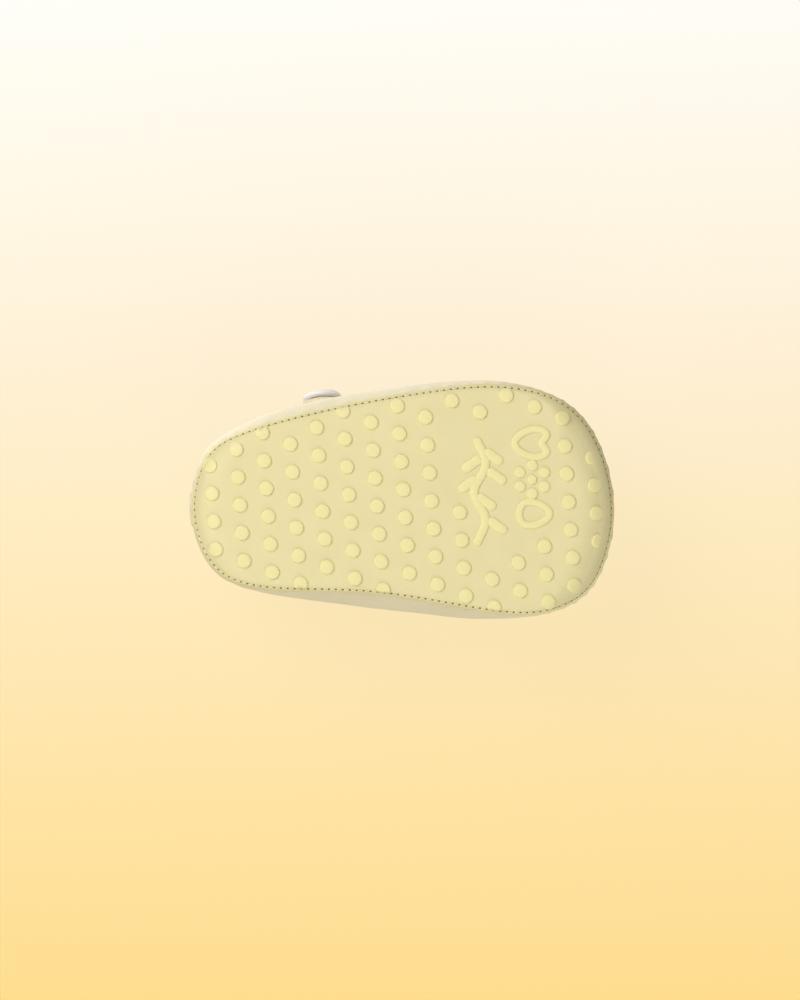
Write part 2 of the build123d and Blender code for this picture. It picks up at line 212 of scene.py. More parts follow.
def leather(name, use, grain):
    # artificial leather, polyurethane on knit: matte, a fine even grain that softens the light,
    # and a faint cloudy change of tone
    look = leatherLook
    base, shade = look[use + "Base"], look[use + "Shade"]
    material, shader = newMaterial(name, base, look["roughness"], IOR=1.48)
    place = addNode(material, "TexCoord").outputs["Object"]
    cloud = texture(material, "TexNoise", place, 1000 / look["mottleMm"], Detail=3.0)
    tone = addNode(material, "Mix", {"data_type": "RGBA"}, {0: cloud.outputs["Fac"]})
    tone.inputs[6].default_value = colour(base)
    tone.inputs[7].default_value = colour(shade)
    material.node_tree.links.new(tone.outputs[2], shader.inputs["Base Color"])
    pebbles = texture(material, "TexVoronoi", place, 1000 / look["grainMm"])
    creases = texture(material, "TexNoise", place, 1000 / look["creaseMm"], Detail=4.0)
    addRelief(material, shader, pebbles.outputs["Distance"], creases.outputs["Fac"],
              grain, look["grainHeight"])
    return material


def weave(name, base, threadMm):
    # plain woven cotton: matte, threads over and under each other at the real spacing, with a soft
    # sheen
    look = weaveLook
    material, shader = newMaterial(name, base, look["roughness"], IOR=1.5,
                                   Sheen_Weight=0.25, Sheen_Roughness=0.5)
    place = addNode(material, "TexCoord").outputs["Object"]
    scale = 1000 / threadMm / look["waveThreads"]
    across, along = (texture(material, "TexWave", place, scale, bands_direction=direction).outputs["Fac"]
                     for direction in ("X", "DIAGONAL"))
    addRelief(material, shader, across, along, look["bump"], look["threadHeight"])
    return material


soleLeather = leather("matte polyurethane leather, sole", "sole", 0.5)
upperLeather = leather("matte polyurethane leather, upper", "upper", 0.35)
# soft PVC printed dots: a little yellower and smoother than the sheet, so each catches a soft glint
gripRubber = newMaterial("soft PVC print", "#ebe0a0", 0.5, IOR=1.52)[0]
# polyester sewing thread: pale with a faint sheen
sewingThread = newMaterial("polyester thread", "#e6dc9c", 0.55, Sheen_Weight=0.3)[0]
# the bottom of a needle hole: painted shadow over the dyed backing
needleShade = newMaterial("needle hole painted shade and backing", "#70642e", 0.9)[0]
cottonLining = weave("cotton lining", "#f4efe2", 0.5)
tapeLeather = leather("folded polyurethane tape", "tape", 0.3)
# cast polyester resin button: cool white and glossy under a thin coat
buttonResin = newMaterial("polyester button resin", "#f3f1f6", 0.18, IOR=1.55,
                          Coat_Weight=0.3, Coat_Roughness=0.1)[0]
hookTape = weave("hook and loop tape", "#efe9da", 0.8)
print("materials ready")


shoe = {
    "rim": [
        (-51.9, -11.2, 0.9), (-42.8, -17.9, 1.7), (-28.2, -22.4, 2.6), (-12.2, -26.0, 2.3), (3.9, -28.8, 1.9),
        (20.2, -30.7, 1.2), (33.5, -29.8, 0.9), (44.5, -25.5, 0.2), (52.8, -15.4, 0.0), (56.9, 1.5, 0.0),
        (54.3, 17.1, 0.0), (47.6, 26.4, 0.1), (35.4, 30.5, 0.7), (20.0, 29.3, 2.4), (3.9, 26.5, 3.6),
        (-12.0, 24.7, 3.7), (-28.0, 24.3, 1.9), (-42.2, 22.5, 0.7), (-51.3, 15.9, 0.4), (-55.3, 2.4, 0.6),
    ],  # sole edge: x, y and how far the upper bulges past it
    "floor": 0.7, "sideSeam": 3.4, "toeRise": 6.4, "heelRise": 4.8,
    "sideCurl": 2.6, "toeCurl": 9.5, "heelCurl": 7.5,
    "widest": 13.0, "sideCrown": 38.0, "toeCrown": 36.0, "heelCrown": 78.0,
    "sidePower": 2.2, "toePower": 1.7, "heelPower": 2.0,
    # where along x a change begins, and over what length
    "toeFrom": (6, 42), "heelFrom": (14, 38), "toeSeamFrom": (30, 34), "heelSeamFrom": (34, 26),
    "toeCurlFrom": (36, 16), "heelCurlFrom": (38, 13), "sweepFrom": (14, 16),
    "gather": (-12.0, 0.0),
    "topline": [
        (-62, 41.2), (-54, 40.0), (-42, 36.0), (-28, 31.4), (-14, 29.8), (-3, 29.4), (6, 30.0),
        (11.5, 32.4), (14.5, 36.5), (16.5, 43),
    ],
    "columns": 640, "wall": 2.6, "liningAt": 1.9, "halvings": 40, "sweepTurns": 2600,
    "wallLow": 22, "lowShare": 0.8,
}


def closedSpline(values, count):
    # smooth closed curve through evenly numbered values: cubic pieces that share slope and bend,
    # found through the Fourier series of the knots
    values = np.asarray(values, float)
    knots = len(values)
    turn = np.exp(-2j * np.pi * np.fft.fftfreq(knots))
    spectrum = np.fft.fft(values, axis=0)
    bend = 6 * (turn + 1 / turn - 2) / (turn + 1 / turn + 4)
    second = np.real(np.fft.ifft(spectrum * bend[:, None], axis=0))
    place = np.arange(count) * knots / count
    low = np.floor(place).astype(int)
    t = (place - low)[:, None]
    high = (low + 1) % knots
    line = values[low] * (1 - t) + values[high] * t
    return line + ((1 - t) ** 3 - (1 - t)) / 6 * second[low] + (t ** 3 - t) / 6 * second[high]


rim = closedSpline(shoe["rim"], shoe["columns"])
along = unit(np.roll(rim[:, :2], -1, 0) - np.roll(rim[:, :2], 1, 0))
outward = np.stack([along[:, 1], -along[:, 0]], 1)
rimX = rim[:, 0]
toeShare = past(rimX, *shoe["toeFrom"])
heelShare = past(-rimX, *shoe["heelFrom"])
seamHeight = (shoe["sideSeam"]
              + np.minimum(shoe["toeRise"] * 1.25 * past(rimX, *shoe["toeSeamFrom"]), shoe["toeRise"])
              + np.minimum(shoe["heelRise"] * 1.1 * past(-rimX, *shoe["heelSeamFrom"]), shoe["heelRise"]))
curlDepth = (shoe["sideCurl"]
             + (shoe["toeCurl"] - shoe["sideCurl"]) * past(rimX, *shoe["toeCurlFrom"])
             + (shoe["heelCurl"] - shoe["sideCurl"]) * past(-rimX, *shoe["heelCurlFrom"]))
rimLength = runLength(rim[:, :2], closed=True)
toplineX, toplineZ = np.array(shoe["topline"], float).T


def cubic(values, slopes, i, t, step=1):
    # stretch i of a curve, as a cubic with the given slopes at both ends
    return (values[i] * (2 * t**3 - 3 * t**2 + 1) + slopes[i] * step * (t**3 - 2 * t**2 + t)
            + values[i + 1] * (3 * t**2 - 2 * t**3) + slopes[i + 1] * step * (t**3 - t**2))


def toplineHeight(x):
    # smooth curve through the topline points
    i = np.clip(np.searchsorted(toplineX, x) - 1, 0, len(toplineX) - 2)
    step = toplineX[i + 1] - toplineX[i]
    t = np.clip((x - toplineX[i]) / step, 0, 1)
    return cubic(toplineZ, np.gradient(toplineZ, toplineX), i, t, step)


def atPlace(values, place, closed=True):
    # values along the rim or another line at fractional point numbers
    low = np.floor(place).astype(int)
    if not closed:
        low = np.clip(low, 0, len(values) - 2)
    part = place - low
    part = part[..., None] if values.ndim > 1 else part
    return values[low % len(values)] * (1 - part) + values[(low + 1) % len(values)] * part


def wallPoint(column, climb, inset):
    # a point of the wall. climb 0 to 1 goes from the seam to the widest height, 1 to 2 goes over the
    # crown as a superellipse towards the gather line
    toe, heel = atPlace(toeShare, column), atPlace(heelShare, column)
    side, seam = 1 - toe - heel, atPlace(seamHeight, column)
    base = shoe["widest"] * (1 - toe) + seam * toe
    crown = side * shoe["sideCrown"] + toe * shoe["toeCrown"] + heel * shoe["heelCrown"] - inset
    power = shoe["sidePower"] * side + shoe["toePower"] * toe + shoe["heelPower"] * heel
    angle = np.clip(climb - 1, 0, 1) * np.pi / 2
    inward = 1 - np.clip(np.cos(angle), 1e-9, 1) ** (2 / power)
    height = seam + (base - seam) * np.clip(climb, 0, 1) + (crown - base) * np.sin(angle) ** (2 / power)
    swell = np.sin(np.pi / 2 * np.clip((height - seam) / (shoe["widest"] - seam), 0, 1))
    edge, out = atPlace(rim, column), atPlace(outward, column)
    away = edge[..., 2] * swell - inset
    x, y = edge[..., 0] + out[..., 0] * away, edge[..., 1] + out[..., 1] * away
    x = x + (shoe["gather"][0] - x) * inward
    y = y + (shoe["gather"][1] - y) * inward
    return np.stack([x, y, height], -1)


allColumns = np.arange(len(rim), dtype=float)


def toplineClimb(inset):
    # how far up each column the topline lies, by halving the interval
    low, high = np.full(len(rim), 0.8), np.full(len(rim), 1.97)
    for turn in range(shoe["halvings"]):
        middle = (low + high) / 2
        point = wallPoint(allColumns, middle, inset)
        above = point[:, 2] > toplineHeight(point[:, 0])
        high = np.where(above, middle, high)
        low = np.where(above, low, middle)
    even = low
    for turn in range(shoe["sweepTurns"]):  # over the vamp the edge is one even sweep
        even = (np.roll(even, 1) + 2 * even + np.roll(even, -1)) / 4
    sweep = past(rimX, *shoe["sweepFrom"])
    return low * (1 - sweep) + even * sweep


topClimbs = {inset: toplineClimb(inset) for inset in (0.0, shoe["liningAt"], shoe["wall"])}


def wallAt(column, share, inset, topInset=0.0):
    # a point of the wall at a share of the way from the sole seam (0) to the topline (1)
    base = shoe["widest"] * (1 - atPlace(toeShare, column)) + atPlace(seamHeight * toeShare, column)
    low = np.clip((base - atPlace(seamHeight, column)) / shoe["wallLow"], 0, 1) * shoe["lowShare"]
    top = atPlace(topClimbs[topInset], column)
    climb = np.where(share < low, share / np.maximum(low, 1e-6),
                     1 + (share - low) / np.maximum(1 - low, 1e-6) * (top - 1))
    return wallPoint(column, climb, inset)


def wallNormal(column, share, inset, topInset=0.0):
    # outward direction: across two short steps over the wall
    sideways = wallAt(column + 0.5, share, inset, topInset) - wallAt(column - 0.5, share, inset, topInset)
    upward = wallAt(column, share + 0.01, inset, topInset) - wallAt(column, share - 0.01, inset, topInset)
    normal = np.cross(sideways, upward)
    return normal / np.maximum(np.linalg.norm(normal, axis=-1), 1e-9)[..., None]


def undersideAt(x, y):
    # height and outward direction of the sole's underside at x, y, with the depth in from the rim
    x, y = np.asarray(x, float), np.asarray(y, float)
    distance = np.hypot(x.ravel()[:, None] - rim[:, 0], y.ravel()[:, None] - rim[:, 1])
    near = distance.argmin(1)
    depth = distance.min(1)
    out = outward[near]
    inside = ((rim[near, 0] - x.ravel()) * out[:, 0] + (rim[near, 1] - y.ravel()) * out[:, 1]) > 0
    depth = np.where(inside, depth, -depth)
    curl, rise = curlDepth[near], seamHeight[near] - shoe["floor"]
    share = np.clip(1 - depth / curl, 0, 0.995)
    flat = np.sqrt(1 - share**2)
    slope = np.arctan2(rise * share, curl * flat)
    normal = np.stack([out[:, 0] * np.sin(slope), out[:, 1] * np.sin(slope), -np.cos(slope)], 1)
    height = shoe["floor"] + rise * (1 - flat)
    shape = x.shape
    normal, out = normal.reshape(shape + (3,)), out.reshape(shape + (2,))
    return height.reshape(shape), normal, depth.reshape(shape), out


print("shape ready", round(float(rimLength[-1]), 1), "mm round the rim")


sole = {
    "sheet": 1.2, "flatRings": 26, "curlRings": 22, "edgeRings": 9, "edgeRound": 0.35,
    "grooveMm": 0.12, "grooveAt": 0.9, "grooveHalf": 0.3, "undulationMm": 0.05, "waveMm": 9,
}


def makeOutsole():
    # rings from the middle out over the flat, round the curl, over the cut edge and back inside.
    # The curl is a quarter ellipse: in by curl * (1 - sin a), up by rise * (1 - cos a)
    rings = []
    curlLine = rim[:, :2] - outward * curlDepth[:, None]
    for k in np.linspace(0.04, 1, sole["flatRings"])[:-1]:
        rings.append(np.column_stack([curlLine * k, np.full(len(rim), shoe["floor"])]))
    rise = seamHeight - shoe["floor"]
    for angle in np.linspace(0, np.pi / 2, sole["curlRings"]):
        inward = curlDepth * (1 - np.sin(angle))
        groove = sole["grooveMm"] * np.exp(-((inward - sole["grooveAt"]) / sole["grooveHalf"]) ** 2)
        spot = rim[:, :2] - outward * (inward + groove * np.sin(angle))[:, None]
        height = shoe["floor"] + rise * (1 - np.cos(angle)) + groove * np.cos(angle)
        rings.append(np.column_stack([spot, height]))
    half = sole["sheet"] / 2
    for angle in np.linspace(0, np.pi, sole["edgeRings"])[1:]:
        spot = rim[:, :2] - outward * (half - half * np.cos(angle))
        rings.append(np.column_stack([spot, seamHeight + sole["edgeRound"] * np.sin(angle)]))
    inner = rim[:, :2] - outward * (sole["sheet"] + 0.2)
    rings.append(np.column_stack([inner, np.full(len(rim), shoe["floor"] + sole["sheet"] + 0.6)]))
    rings.append(np.column_stack([inner * 0.9, np.full(len(rim), shoe["floor"] + sole["sheet"])]))
    points = np.concatenate(rings)
    ripple = waves(points[:, 0] / sole["waveMm"], points[:, 1] / sole["waveMm"], 3)
    points[:, 2] -= sole["undulationMm"] * ripple * (points[:, 2] < sole["sheet"])
    hubs = np.array([[0, 0, shoe["floor"]], [0, 0, shoe["floor"] + sole["sheet"]]])
    return makeObject("outsoleSheet", np.concatenate([points, hubs]), spindleFaces(len(rings), len(rim)))


dress(makeOutsole(), soleLeather, "sole_leather", "shoe", "outsole")
print("outsole ready")


dots = {
    "diameter": 3.9, "height": 0.55, "column": (7.43, 2.99), "row": (0.53, 7.34), "start": (0.9, -2.75),
    "seamGap": 1.3, "nearest": 0.9, "segments": 28,
    "plain": [(12.5, 18.5, -2), (18.5, 25.5, 15), (25.5, 32.5, 12), (32.5, 43, 8)], "plainStart": -21.0,
}


def raised(x, y, lift):
    # points over the underside at x, y, lifted off it; none comes nearer the seam than the gap
    height, normal, depth, out = undersideAt(x, y)
    over = np.clip(dots["seamGap"] - depth, 0, None)
    x, y = x - out[..., 0] * over, y - out[..., 1] * over
    height, normal, depth, out = undersideAt(x, y)
    return np.stack([x, y, height], -1) + normal * np.asarray(lift)[..., None]


def roundDot(x, y, radius, height):
    # nearly flat on top with a sloping, rounded shoulder: lift = height * (1 - r^14)^0.6, plus a
    # slight crown
    shares = np.array([1.0, 0.98, 0.955, 0.92, 0.86, 0.7, 0.0])
    lifts = height * (0.94 * (1 - shares**14) ** 0.6 + 0.06 * (1 - shares**2))
    lifts[0] = -0.1
    angle = circle(dots["segments"])
    ringX = x + radius * shares[:-1, None] * np.cos(angle)
    ringY = y + radius * shares[:-1, None] * np.sin(angle)
    points = raised(ringX, ringY, np.broadcast_to(lifts[:-1, None], ringX.shape)).reshape(-1, 3)
    top = raised(np.array([x]), np.array([y]), np.array([lifts[-1]]))
    rows, count = len(shares) - 1, dots["segments"]
    faces = gridFaces(rows, count, aroundColumns=True)[:, ::-1].tolist()
    faces += fanFaces(np.arange((rows - 1) * count, rows * count), rows * count, flip=True).tolist()
    faces.append(list(range(count)))
    return np.concatenate([points, top]), faces


def dotCentres():
    # the slanted lattice: whole steps of column and row from the start, kept where the sole is plain
    i, j = np.meshgrid(np.arange(-9, 9), np.arange(-9, 9), indexing="ij")
    x = dots["start"][0] + i * dots["column"][0] + j * dots["row"][0]
    y = dots["start"][1] + i * dots["column"][1] + j * dots["row"][1]
    depth = undersideAt(x, y)[2]
    plain = np.zeros(x.shape, bool)
    for low, high, end in dots["plain"]:
        plain |= (x > low) & (x < high) & (y > dots["plainStart"]) & (y < end)
    keep = (depth > dots["nearest"]) & ~plain
    return np.stack([x[keep], y[keep]], 1)


dotSets = [roundDot(x, y, dots["diameter"] / 2, dots["height"]) for x, y in dotCentres()]
dress(makeObject("gripDots", *joinSets(dotSets)), gripRubber, "grip_rubber", "shoe", "grip_dots")
print("dots ready", len(dotSets))

emblem = {
    "stroke": 2.3, "thin": 1.9, "height": 0.45, "steps": 90,
    "leafWidth": 1.15, "leafHalf": 3.0, "leafTurn": 55, "leafAway": (3.2, 2.0),
    "sprig": [(20, -16.5), (22.5, -9.5), (19.5, -2), (22.5, 5), (20, 12)],
    "leaves": [(0.12, 1), (0.18, -1), (0.3, 1), (0.37, -1), (0.52, 1), (0.75, 1)],
    "heart": [(30.2, -15), (34.8, -11.4), (38.6, -12.7), (37.4, -15), (38.6, -17.3), (34.8, -18.6)],
    "drop": [(39.4, 3.6), (34.2, 6.7), (31.4, 3.6), (34.2, 0.5)],
    "flower": (34.8, -5.4), "middleMm": 1.3, "petalMm": 1.5, "petalAt": 3.7, "petals": 6,
}


def openSpline(values, count):
    # smooth open curve through evenly numbered values
    values = np.asarray(values, float)
    place = np.linspace(0, len(values) - 1, count)
    i = np.clip(np.floor(place).astype(int), 0, len(values) - 2)
    return cubic(values, np.gradient(values, axis=0), i, (place - i)[:, None])


def raisedStroke(line, width, height, closed=False):
    # a bead along a flat line: across it the section is half an ellipse, and open ends are round
    if closed:
        ahead = np.roll(line, -1, 0) - np.roll(line, 1, 0)
        widths = np.full(len(line), width / 2)
    else:
        ahead = np.gradient(line, axis=0)
        run = runLength(line)
        near = np.minimum(run, run[-1] - run) / (width / 2)
        widths = width / 2 * np.sqrt(np.clip(1 - (1 - np.clip(near, 0, 1)) ** 2, 0.0004, 1))
    ahead = unit(ahead)
    across = np.stack([-ahead[:, 1], ahead[:, 0]], 1)
    angle = np.linspace(0, np.pi, 13)
    shift, lift = np.cos(angle), np.sin(angle) ** 0.6 * height
    lift[[0, -1]] = -0.1
    x = line[:, :1] + across[:, :1] * widths[:, None] * shift
    y = line[:, 1:] + across[:, 1:] * widths[:, None] * shift
    lifts = lift * np.where(lift > 0, (widths / (width / 2))[:, None] ** 0.7, 1)
    points = raised(x, y, lifts).reshape(-1, 3)
    return points, tubeFaces(len(line), len(angle), closed, flip=True)


def makeEmblem():
    sprig, height = openSpline(emblem["sprig"], emblem["steps"]), emblem["height"]
    sets = [raisedStroke(sprig, emblem["stroke"], height)]
    awayX, awayY = emblem["leafAway"]
    reach = np.linspace(-1, 1, 30)[:, None] * emblem["leafHalf"]
    for share, side in emblem["leaves"]:
        turn = np.radians(emblem["leafTurn"]) * side
        middle = sprig[int(share * (len(sprig) - 1))] + np.array([side * awayX, awayY])
        leaf = middle + reach * np.array([np.sin(turn), np.cos(turn)])
        sets.append(raisedStroke(leaf, emblem["stroke"] * emblem["leafWidth"], height))
    for name in ("heart", "drop"):
        outline = closedSpline(emblem[name], emblem["steps"])
        sets.append(raisedStroke(outline, emblem["thin"], height, closed=True))
    x, y = emblem["flower"]
    sets.append(roundDot(x, y, emblem["middleMm"], height))
    for angle in np.arange(emblem["petals"]) * 2 * np.pi / emblem["petals"]:
        spotX, spotY = x + emblem["petalAt"] * np.sin(angle), y + emblem["petalAt"] * np.cos(angle)
        sets.append(roundDot(spotX, spotY, emblem["petalMm"], height))
    return makeObject("soleEmblem", *joinSets(sets))


dress(makeEmblem(), gripRubber, "grip_rubber", "shoe", "sole_emblem")
print("emblem ready")


stitches = {
    "soleCount": 160, "threadMm": 0.34, "holeMm": 0.56, "soleInset": 0.9, "soleSteps": 1600,
    "topPitch": 2.0,
    "gap": 0.12, "threadSides": 8, "holeSides": 10, "holeTop": 0.02, "holeDeep": 0.15,
    "aside": (0.3, 0.5, 0.8),
}


def stitchRow(path, normals, count, closed=False, thread=stitches["threadMm"]):
    # threads: each a short bead that rises out of one hole and dives into the next, its height
    # following the square root of a sine; and a shallow dish of painted shade in each hole
    length = len(path) if closed else len(path) - 1
    starts = np.arange(count) * length / count
    gap = stitches["gap"]
    steps = np.linspace(gap, 1 - gap, 9)
    place = starts[:, None] + length / count * steps
    centre, up = atPlace(path, place, closed), atPlace(normals, place, closed)
    ahead = unit(atPlace(path, place + 0.05, closed) - atPlace(path, place - 0.05, closed))
    side = np.cross(up, ahead)
    bow = np.sqrt(np.clip(np.sin(np.pi * (steps - gap) / (1 - 2 * gap)), 0, 1))
    centre = centre + up * ((bow - 0.55) * thread * 0.75)[:, None]
    radius = thread / 2 * (0.55 + 0.45 * bow)
    angle = circle(stitches["threadSides"])[:, None]
    ring = (side[:, :, None] * np.cos(angle) + up[:, :, None] * np.sin(angle)) * radius[:, None, None]
    tube = tubeFaces(len(steps), len(angle))
    threads = [(points, tube) for points in (centre[:, :, None] + ring).reshape(count, -1, 3)]
    spots, up = atPlace(path, starts, closed), unit(atPlace(normals, starts, closed))[:, None]
    a = unit(np.cross(up, stitches["aside"]))
    angle = circle(stitches["holeSides"])[:, None]
    ring = (a * np.cos(angle) + np.cross(up, a) * np.sin(angle)) * stitches["holeMm"] / 2
    ring = spots[:, None] + ring  # round each needle hole
    dish = tubeFaces(2, len(angle), flip=True)
    dishes = np.concatenate([ring + up * stitches["holeTop"], ring - up * stitches["holeDeep"]], 1)
    return threads, [(points, dish) for points in dishes]


def sewOn(name, rows, body, *nodes):
    # all threads of some stitch rows as one piece, and their needle holes as another
    threads, holes = ([part for row in rows for part in row[kind]] for kind in (0, 1))
    dress(makeObject(name + "Thread", *joinSets(threads)), sewingThread, "thread", body, *nodes)
    dress(makeObject(name + "NeedleHoles", *joinSets(holes)), needleShade, "thread", body)


def soleSeamPath():
    # even steps round the rim, a little inside it, on the curled underside
    stops = np.linspace(0, rimLength[-1], stitches["soleSteps"] + 1)[:-1]
    even = np.interp(stops, rimLength, np.arange(len(rim) + 1))
    spot = atPlace(rim, even)[:, :2] - atPlace(outward, even) * stitches["soleInset"]
    height, normal, depth, out = undersideAt(spot[:, 0], spot[:, 1])
    return np.column_stack([spot, height]) - normal * sole["grooveMm"] * 0.8, normal


soleRow = stitchRow(*soleSeamPath(), stitches["soleCount"], closed=True)
sewOn("sole", [soleRow], "shoe", "sole_stitching")
print("sole stitching ready")


upper = {
    "sheet": 1.2, "rows": 84, "vampColumns": 300, "quarterColumns": 190, "stayColumns": 32,
    "vampPlane": (3.0, 28.0, 0.25), "stayMiddle": 2.4, "stayWidth": 9.0, "stayLift": 0.35, "halvings": 36,
    "underlap": 9, "stayUnderlap": 4, "underlapMm": 0.6, "sinkFrom": 3.4, "sinkOver": 1.6,
    "puckerMm": 0.16, "foldMm": 0.3, "edgeMm": 0.5, "edgeDeep": 0.45, "flushTo": 0.32, "flushOver": 0.15,
    "stitchFrom": 0.42, "stitchLast": -8,
}
allShares = np.linspace(0, 1, upper["rows"])


def columnWhere(measure, low, high, shares, inset=0.0):
    # for each share of the height, the column between low and high where the measure turns positive
    low, high = np.full(len(shares), float(low)), np.full(len(shares), float(high))
    for turn in range(upper["halvings"]):
        middle = (low + high) / 2
        positive = measure(wallAt(middle, shares, inset)) > 0
        high = np.where(positive, middle, high)
        low = np.where(positive, low, middle)
    return low


def vampMeasure(point):
    x, z, slant = upper["vampPlane"]
    return point[..., 0] - x + slant * (point[..., 2] - z)


def softness(column, share):
    # the soft sheet is not a perfect shape: small gathers at the sole seam, and wide shallow folds
    gathers = np.sin(column * np.pi / 5 + 2.2 * np.sin(column / 31)) * np.exp(-share / 0.055)
    angle = column / len(rim) * 2 * np.pi
    folds = waves(9 * np.cos(angle), 9 * np.sin(angle), 5) * np.sin(np.pi * np.clip(share, 0, 1)) ** 0.7
    dents = waves(23 * np.cos(angle) + 3 * share, 23 * np.sin(angle) - 5 * share, 8) * (1 - share) ** 2
    return upper["puckerMm"] * gathers - upper["foldMm"] * (folds + 0.4 * dents)


def slab(outer, inner, around=False):
    # a closed sheet from its outer and inner surfaces, each a rows by columns grid of points
    rows, columns = outer.shape[:2]
    half = rows * columns
    faces = gridFaces(rows, columns, aroundColumns=around).tolist()
    faces += gridFaces(rows, columns, aroundColumns=around, start=half)[:, ::-1].tolist()
    low = np.arange(columns)
    edge = np.stack([low, np.roll(low, -1)], 1)[: columns if around else columns - 1]
    edges = [edge[:, ::-1], edge + (rows - 1) * columns]
    if not around:
        side = np.arange(rows) * columns
        side = np.stack([side[:-1], side[1:]], 1)
        edges += [side, side[:, ::-1] + columns - 1]
    for edge in edges:
        faces += np.column_stack([edge, edge[:, ::-1] + half]).tolist()
    return np.concatenate([outer.reshape(-1, 3), inner.reshape(-1, 3)]), faces


def crowded(count):
    # shares 0 to 1 that lie closer together near both ends, where the cut edges round over
    even = np.linspace(0, 1, count)
    return even - np.sin(2 * np.pi * even) * 0.13


def panel(name, starts, ends, columns, lift=0.0, underlap=(0, 0)):
    # one panel of the upper between a starting and an ending column for every row. Its edges round
    # over; an edge with an underlap runs on below the neighbour and sinks under it
    shares = allShares[:, None]
    free = past(shares, upper["flushTo"], upper["flushOver"])
    first, last = starts[:, None] - underlap[0] * free, ends[:, None] + underlap[1] * free
    column = first + (last - first) * crowded(columns)
    spread = np.broadcast_to(shares, column.shape)
    steps = np.linalg.norm(np.diff(wallAt(column, spread, 0.0), axis=1), axis=2)
    run = np.concatenate([np.zeros((len(shares), 1)), np.cumsum(steps, 1)], 1)
    edge, sunk = np.full(run.shape, 9.0), 0
    for distance, reach in ((run, underlap[0]), (run[:, -1:] - run, underlap[1])):
        if reach:
            beyond = np.clip(distance - upper["sinkFrom"], 0, None) / upper["sinkOver"]
            sunk = sunk + upper["underlapMm"] * free * np.exp(-beyond**2)
        else:
            edge = np.minimum(edge, distance)
    rounding = 1 - np.sqrt(1 - (1 - np.clip(edge / upper["edgeMm"], 0, 1)) ** 2)
    rounding = upper["edgeDeep"] * rounding * (0.12 + 0.88 * free)
    soft = softness(column, shares)
    outer = wallAt(column, spread, rounding + sunk - lift * ease(shares / 0.25) - soft)
    return makeObject(name, *slab(outer, wallAt(column, spread, upper["sheet"] - soft * 0.5)))


vampStart = columnWhere(vampMeasure, 40, 262, allShares)
vampEnd = columnWhere(lambda point: -vampMeasure(point), 318, 560, allShares)
stayLow, stayHigh = (upper["stayMiddle"] + side * upper["stayWidth"] / 2 for side in (-1, 1))
stayStart = columnWhere(lambda point: stayHigh - point[..., 1], 570, 640, allShares)
stayEnd = columnWhere(lambda point: stayLow - point[..., 1], 590, 660, allShares)

under, stayUnder = upper["underlap"], upper["stayUnderlap"]
panels = [
    ("vampSheet", vampStart, vampEnd, upper["vampColumns"], 0.0, (under, under)),
    ("outerQuarter", stayEnd - len(rim), vampStart, upper["quarterColumns"], 0.0, (stayUnder, 0)),
    ("innerQuarter", vampEnd, stayStart, upper["quarterColumns"], 0.0, (0, stayUnder)),
    ("backStay", stayStart, stayEnd, upper["stayColumns"], upper["stayLift"]),
]
panelNodes = [("vamp", "toe_puff"), ("quarter_lateral", "side_padding"), ("quarter_medial",),
              ("back_stay", "heel_counter")]
for values, nodes in zip(panels, panelNodes):
    dress(panel(*values), upperLeather, "upper_leather", "shoe", *nodes)
print("upper ready")


def evenPath(points, normals, pitch=stitches["topPitch"]):
    # the same line with even steps, four to a stitch; also the number of stitches
    run = runLength(points)
    count = max(int(round(run[-1] / pitch)), 1)
    even = np.linspace(0, run[-1], count * 4 + 1)
    return resample(even, run, points), unit(resample(even, run, normals)), count


def seamAlongEdge(columns, shiftMm, lift):
    # a stitch row that follows a panel edge at a distance along the wall
    column, start = columns, wallAt(columns, allShares, 0.0)
    for turn in range(3):
        gap = np.linalg.norm(wallAt(column, allShares, 0.0) - start, axis=1)
        step = wallAt(column + 0.5, allShares, 0.0) - wallAt(column - 0.5, allShares, 0.0)
        step = np.maximum(np.linalg.norm(step, axis=1), 0.02)
        column = column + np.sign(shiftMm) * (abs(shiftMm) - gap) / step
    points = wallAt(column, allShares, -lift - softness(column, allShares))
    keep = slice(int(len(allShares) * upper["stitchFrom"]), upper["stitchLast"])
    return evenPath(points[keep], wallNormal(column, allShares, 0.0)[keep])


edgeRows = [
    (vampStart, -1.6, 0.0), (vampStart, -3.2, 0.0), (vampEnd, 1.6, 0.0), (vampEnd, 3.2, 0.0),
    (stayStart, 1.3, upper["stayLift"]), (stayEnd, -1.3, upper["stayLift"]),
]
sewOn("upper", [stitchRow(*seamAlongEdge(*row)) for row in edgeRows], "shoe")
print("upper stitching ready")


inside = {
    "rows": 60, "liningTop": 0.985, "padMm": 0.35,
    "sockTop": 5.3, "sockSheet": 2.6, "sockGap": 2.5, "sockEdge": 0.8, "rings": 18,
    "flatShares": (0.1, 0.3, 0.5, 0.7, 0.85, 0.95), "fill": 0.8,
}


def makeLining():
    # the wall's inside, from the sock up to just under the tape, with a little padding under it
    shares = np.linspace(0.0, inside["liningTop"], inside["rows"])[:, None]
    column = np.broadcast_to(allColumns, (inside["rows"], len(rim)))
    spread = np.broadcast_to(shares, column.shape)
    swell = inside["padMm"] * waves(column / 23, spread * 5, 11) * np.sin(np.pi * spread)
    near = wallAt(column, spread, shoe["wall"] + np.abs(swell), shoe["wall"])
    far = wallAt(column, spread, shoe["liningAt"], shoe["liningAt"])
    return makeObject("liningSheet", *slab(far, near, around=True))


